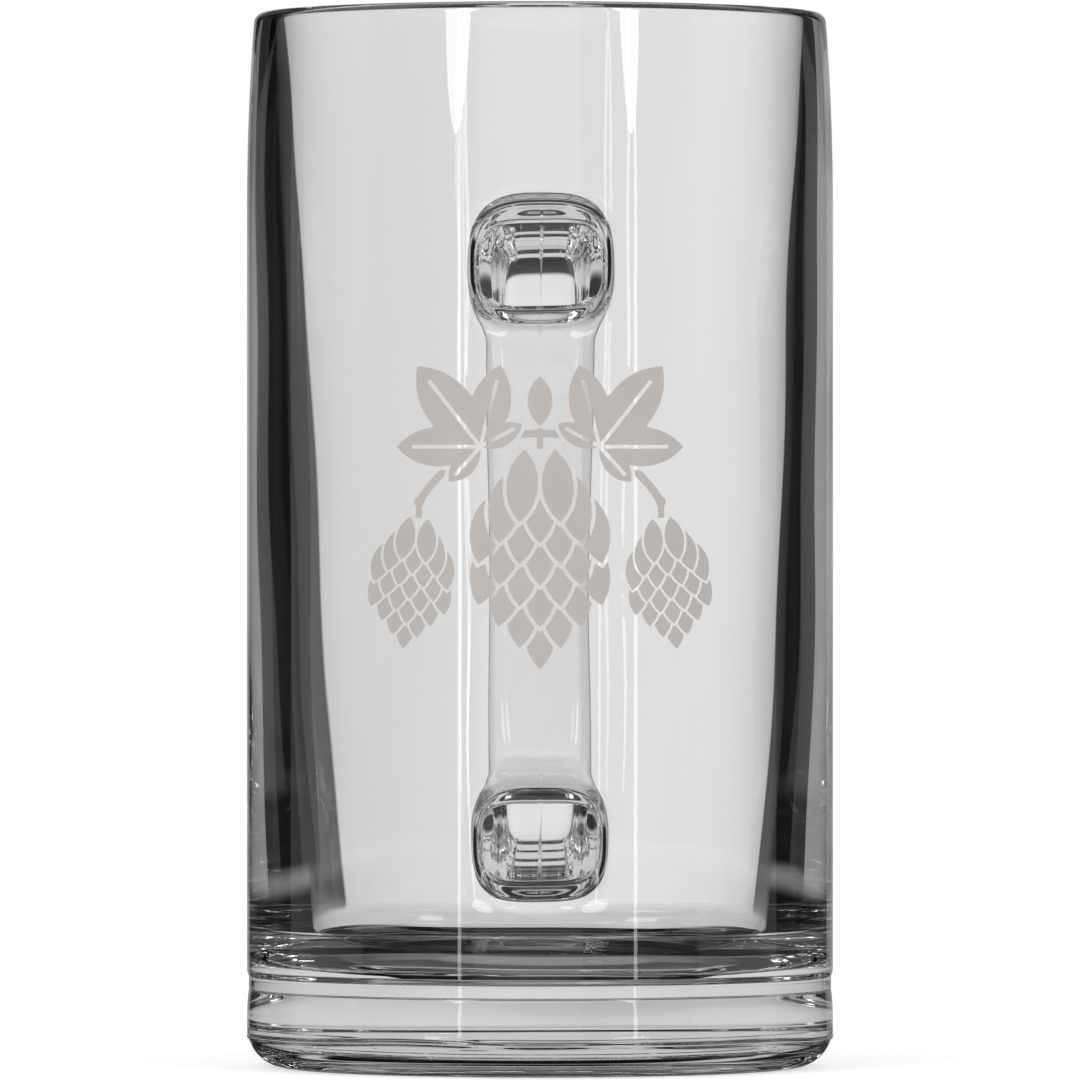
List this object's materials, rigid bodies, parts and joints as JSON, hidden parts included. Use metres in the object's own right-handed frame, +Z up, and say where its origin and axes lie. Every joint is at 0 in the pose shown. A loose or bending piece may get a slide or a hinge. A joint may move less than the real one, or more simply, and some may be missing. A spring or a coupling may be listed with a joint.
{
  "type": "beer mug",
  "caption": "Straight-sided clear glass beer mug with a thick base, a looped handle and a one-colour hop print.",
  "frame": {"origin": "middle of the resting ring under the base, on the body's axis", "axes": "+Z up along the body's axis, +Y towards the handle, +X to the right when the print faces the viewer"},
  "size_m": [0.085, 0.1269, 0.1528],
  "materials": {
    "glass": "clear soda-lime glass, pressed and fire-polished",
    "ink": "warm grey enamel ink, fired on, satin"
  },
  "bodies": {
    "root": {"glass_body": "glass", "handle": "glass", "print_middle_hop": "ink", "print_left_hop": "ink", "print_right_hop": "ink", "print_left_leaf": "ink", "print_right_leaf": "ink", "print_vine": "ink"}
  },
  "joints": []
}
